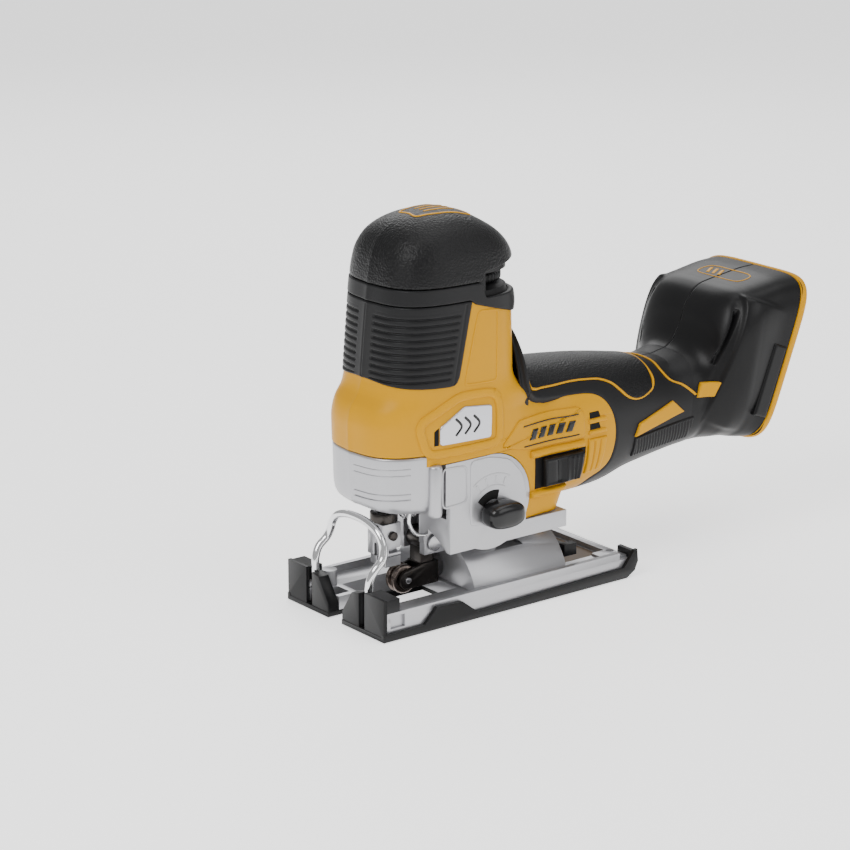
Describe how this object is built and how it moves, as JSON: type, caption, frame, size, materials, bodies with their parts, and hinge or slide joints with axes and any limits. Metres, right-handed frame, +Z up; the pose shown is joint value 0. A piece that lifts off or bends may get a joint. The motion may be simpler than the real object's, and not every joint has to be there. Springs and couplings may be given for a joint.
{
  "type": "cordless jigsaw",
  "caption": "Barrel-grip cordless jigsaw without battery or blade: clamshell body, tilting shoe, plunger with blade clamp, guide roller, orbital knob, slide switch and wire guard.",
  "frame": {"origin": "on the sole of the shoe, in the tool's centre plane, on the bevel axis", "axes": "-X towards the blade end, +X towards the battery foot, -Y the tool's left side, +Z up"},
  "size_m": [0.2663, 0.0807, 0.188],
  "materials": {
    "yellow": "moulded yellow plastic",
    "rubber": "soft black overmould",
    "black": "moulded black plastic",
    "silver": "satin die-cast",
    "steel": "machined steel",
    "chrome": "bright plated wire",
    "dark_steel": "oiled dark steel",
    "copper": "copper-coloured",
    "brass": "sintered bronze"
  },
  "bodies": {
    "tool": {"badge_left": "silver", "badge_right": "silver", "bearing_front": "steel", "bearing_rear": "steel", "bushing_lower": "brass", "bushing_upper": "brass", "contact_1": "copper", "contact_2": "copper", "contact_3": "copper", "control_module": "black", "dial_pot": "black", "foot_left": "black", "foot_right": "black", "foot_rim": "yellow", "fork_pin": "steel", "front_grip": "rubber", "gear_case": "silver", "gear_cover": "silver", "grip_left": "rubber", "grip_right": "rubber", "guard_hook": "chrome", "head_band": "rubber", "head_cap": "rubber", "housing_left": "yellow", "housing_right": "yellow", "housing_screw_1": "steel", "housing_screw_2": "steel", "housing_screw_3": "steel", "lever_pin": "steel", "release_spring": "chrome", "stator": "copper", "switch_body": "black", "terminal_block": "black"},
    "lever": {"release_lever": "silver"},
    "ram": {"plunger": "steel", "scotch_yoke": "steel", "clamp_body": "silver", "clamp_collar": "dark_steel", "clamp_screw_1": "dark_steel", "clamp_screw_2": "dark_steel"},
    "crank": {"crank_gear": "steel", "crank_pin": "steel"},
    "rotor": {"rotor": "steel", "pinion": "steel", "fan": "black"},
    "knob": {"orbital_knob": "black", "knob_shaft": "steel"},
    "fork": {"roller_fork": "dark_steel", "roller_pin": "steel"},
    "roller": {"guide_roller": "dark_steel"},
    "shoe": {"shoe_plate": "silver", "shoe_cover": "black", "bevel_saddle": "silver", "finger_guard": "chrome", "bevel_bolt": "steel"},
    "bevel_lever": {"bevel_lever": "black"},
    "switch": {"slider_left": "black", "slider_right": "black", "slider_bar": "black"},
    "dial": {"speed_dial": "black"}
  },
  "joints": [
    {"name": "plunger_stroke", "type": "slide", "parent": "tool", "child": "ram", "axis": [0, 0, 1], "range_m": [0, 0.026]},
    {"name": "rotor_spin", "type": "hinge", "parent": "tool", "child": "rotor", "pos_m": [0.08, 0, 0.074], "axis": [1, 0, 0], "continuous": true},
    {"name": "crank_spin", "type": "hinge", "parent": "tool", "child": "crank", "pos_m": [-0.018, 0, 0.074], "axis": [0, 1, 0], "continuous": true},
    {"name": "release_lever_swing", "type": "hinge", "parent": "tool", "child": "lever", "pos_m": [-0.036, -0.0305, 0.067], "axis": [0, 0, 1], "range_deg": [0, 60], "stiffness_Nm_per_rad": 0.15, "springref_deg": -5.73},
    {"name": "orbital_knob_turn", "type": "hinge", "parent": "tool", "child": "knob", "pos_m": [-0.002, -0.036, 0.046], "axis": [0, 1, 0], "range_deg": [-90, 0]},
    {"name": "fork_swing", "type": "hinge", "parent": "tool", "child": "fork", "pos_m": [-0.021, 0, 0.0305], "axis": [0, 1, 0], "range_deg": [0, 5]},
    {"name": "guide_roller_spin", "type": "hinge", "parent": "fork", "child": "roller", "pos_m": [-0.033, 0, 0.013], "axis": [0, 1, 0], "continuous": true},
    {"name": "shoe_bevel", "type": "hinge", "parent": "tool", "child": "shoe", "pos_m": [0, 0, 0], "axis": [1, 0, 0], "range_deg": [-45, 45]},
    {"name": "bevel_lever_turn", "type": "hinge", "parent": "shoe", "child": "bevel_lever", "pos_m": [0.0465, 0, 0.017], "axis": [1, 0, 0], "range_deg": [-25, 0]},
    {"name": "switch_slide", "type": "slide", "parent": "tool", "child": "switch", "axis": [-1, 0, 0], "range_m": [0, 0.005]},
    {"name": "speed_dial_turn", "type": "hinge", "parent": "tool", "child": "dial", "pos_m": [0.0015, 0, 0.1548], "axis": [0, 0, 1], "range_deg": [0, 270]}
  ],
  "couplings": [
    {"joint": "crank_spin", "follows": "rotor_spin", "ratio": -0.25}
  ]
}
